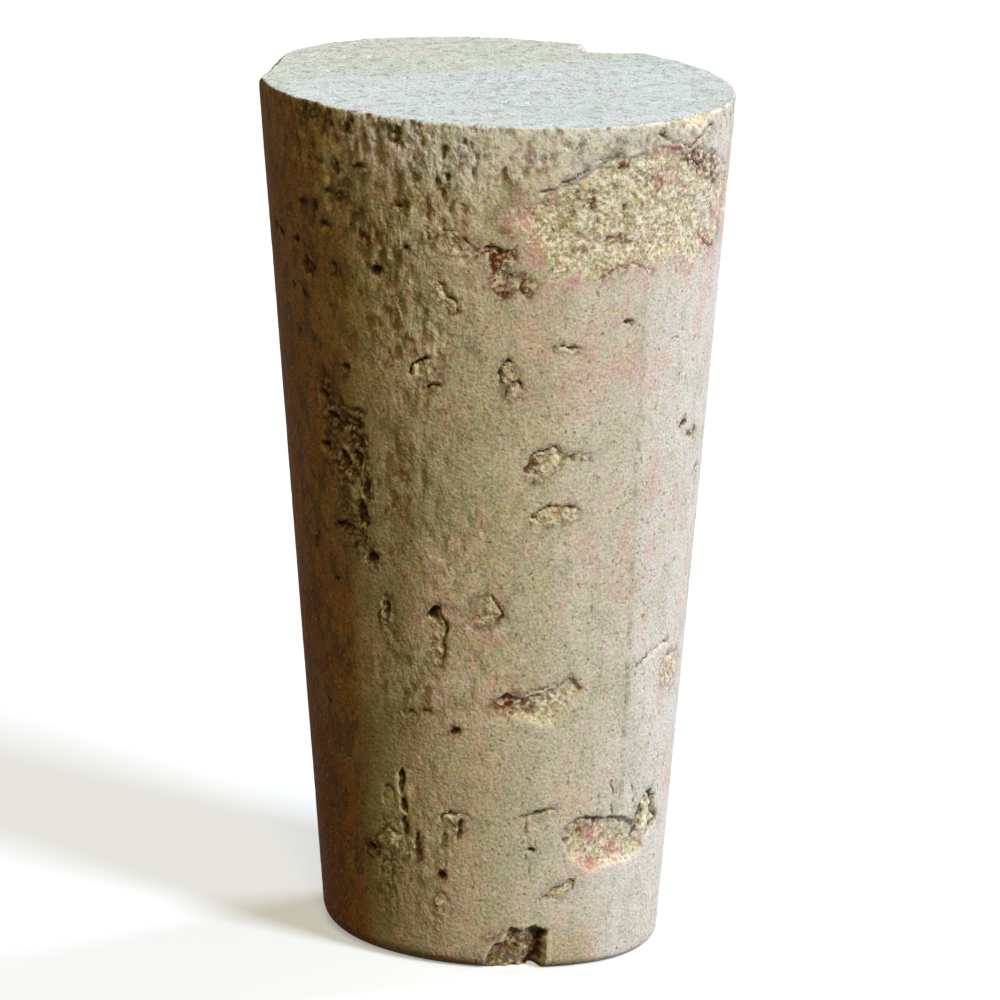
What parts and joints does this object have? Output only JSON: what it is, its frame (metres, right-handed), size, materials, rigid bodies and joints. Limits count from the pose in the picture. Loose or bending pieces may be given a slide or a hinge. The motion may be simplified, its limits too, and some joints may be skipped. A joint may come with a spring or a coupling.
{
  "type": "tapered cork stopper",
  "caption": "Tapered stopper ground from one piece of natural cork, with lenticel pits, a crumbled patch below the head and small chips, standing on its narrow foot.",
  "frame": {"origin": "middle of the foot face, the narrow end that the stopper stands on", "axes": "+Z from the foot face up to the head face, -Y towards the front, which carries the crumbled patch and the notch in the foot"},
  "size_m": [0.0207, 0.0208, 0.038],
  "materials": {
    "cork": "ground natural cork, matt, with torn pits that show darker brown bark"
  },
  "bodies": {
    "root": {"cork_stopper": "cork"}
  },
  "joints": []
}
